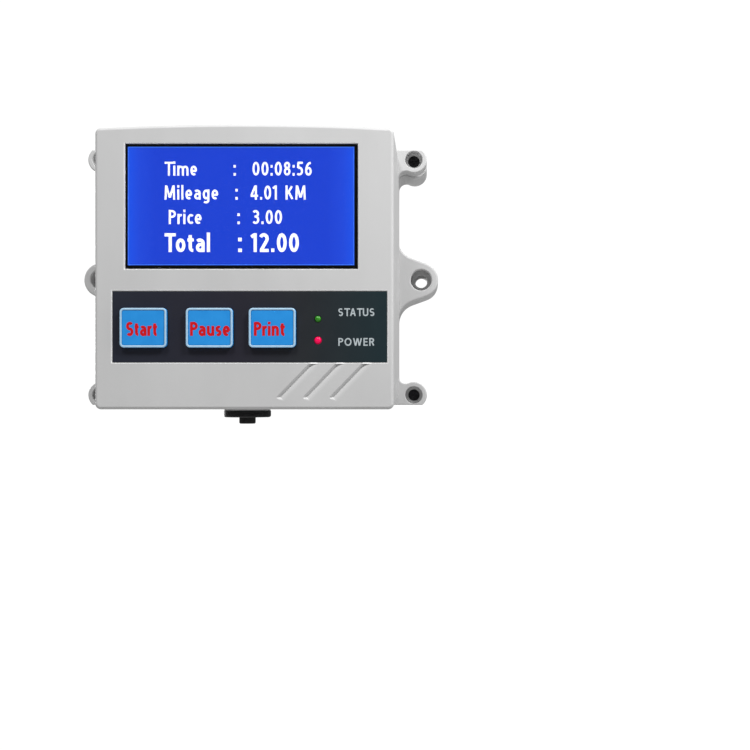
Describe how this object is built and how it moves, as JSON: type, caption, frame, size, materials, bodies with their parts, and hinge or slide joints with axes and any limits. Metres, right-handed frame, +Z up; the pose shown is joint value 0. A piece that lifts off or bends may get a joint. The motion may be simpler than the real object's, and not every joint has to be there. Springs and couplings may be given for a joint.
{
  "type": "taxi meter",
  "caption": "Wall-mounted taxi meter: a lugged two-shell case with a lit display window, blue push keys, indicator lamps and a cable gland underneath.",
  "frame": {"origin": "midway between the two wall-mounting holes, on the mounting face of the rear case", "axes": "+Z up, -Y towards the driver who reads the display, +X to the driver's right; +Y points into the wall"},
  "size_m": [0.1134, 0.045, 0.0883],
  "materials": {
    "case_plastic": "moulded light grey plastic with a fine satin texture",
    "seal_rubber": "soft black rubber",
    "black_steel": "blackened steel screw",
    "insert_brass": "turned brass",
    "black_plastic": "black moulded plastic",
    "clear_lens": "clear flat window",
    "display_blue": "lit blue liquid crystal glass",
    "backlight_white": "white light guide",
    "board_green": "green solder resist on a glass-fibre board",
    "zinc_steel": "zinc-plated steel",
    "fascia_film": "satin dark grey printed fascia",
    "key_blue": "smooth sky-blue key cap",
    "lamp_green": "green diffused lamp lens",
    "lamp_red": "lit red diffused lamp lens",
    "chip_black": "black moulding compound",
    "shield_metal": "bright tinned steel",
    "capacitor_sleeve": "dark blue shrink sleeve",
    "terminal_green": "green connector plastic",
    "ribbon_grey": "grey flexible flat cable",
    "washer_grey": "light grey sealing washer",
    "gland_black": "black polyamide"
  },
  "bodies": {
    "case": {"backup_cell": "shield_metal", "buzzer": "black_plastic", "cable_sleeve": "seal_rubber", "cell_holder": "black_plastic", "clock_crystal": "shield_metal", "cover_gasket": "seal_rubber", "cover_screws": "black_steel", "display_bezel": "black_plastic", "display_board": "board_green", "display_board_screws": "zinc_steel", "display_lens": "clear_lens", "display_ribbon": "ribbon_grey", "fascia_panel": "fascia_film", "filter_capacitors": "capacitor_sleeve", "front_cover": "case_plastic", "fuse": "chip_black", "gland_body": "gland_black", "gland_locknut": "gland_black", "gland_washer": "washer_grey", "key_board": "board_green", "key_board_screws": "zinc_steel", "key_ribbon": "ribbon_grey", "key_switches": "black_plastic", "lcd_backlight": "backlight_white", "lcd_glass": "display_blue", "main_board": "board_green", "main_board_screws": "zinc_steel", "microcontroller": "chip_black", "power_lamp": "lamp_red", "radio_module": "shield_metal", "rear_case": "case_plastic", "ribbon_headers": "black_plastic", "screw_inserts": "insert_brass", "status_lamp": "lamp_green", "terminal_block": "terminal_green", "terminal_screws": "zinc_steel", "voltage_regulator": "chip_black"},
    "start_button": {"start_key": "key_blue", "start_switch_plunger": "black_plastic"},
    "pause_button": {"pause_key": "key_blue", "pause_switch_plunger": "black_plastic"},
    "print_button": {"print_key": "key_blue", "print_switch_plunger": "black_plastic"}
  },
  "joints": [
    {"name": "start_press", "type": "slide", "parent": "case", "child": "start_button", "axis": [0, 1, 0], "range_m": [0, 0.0008], "stiffness_N_per_m": 1500, "springref_m": -0.0003},
    {"name": "pause_press", "type": "slide", "parent": "case", "child": "pause_button", "axis": [0, 1, 0], "range_m": [0, 0.0008], "stiffness_N_per_m": 1500, "springref_m": -0.0003},
    {"name": "print_press", "type": "slide", "parent": "case", "child": "print_button", "axis": [0, 1, 0], "range_m": [0, 0.0008], "stiffness_N_per_m": 1500, "springref_m": -0.0003}
  ]
}
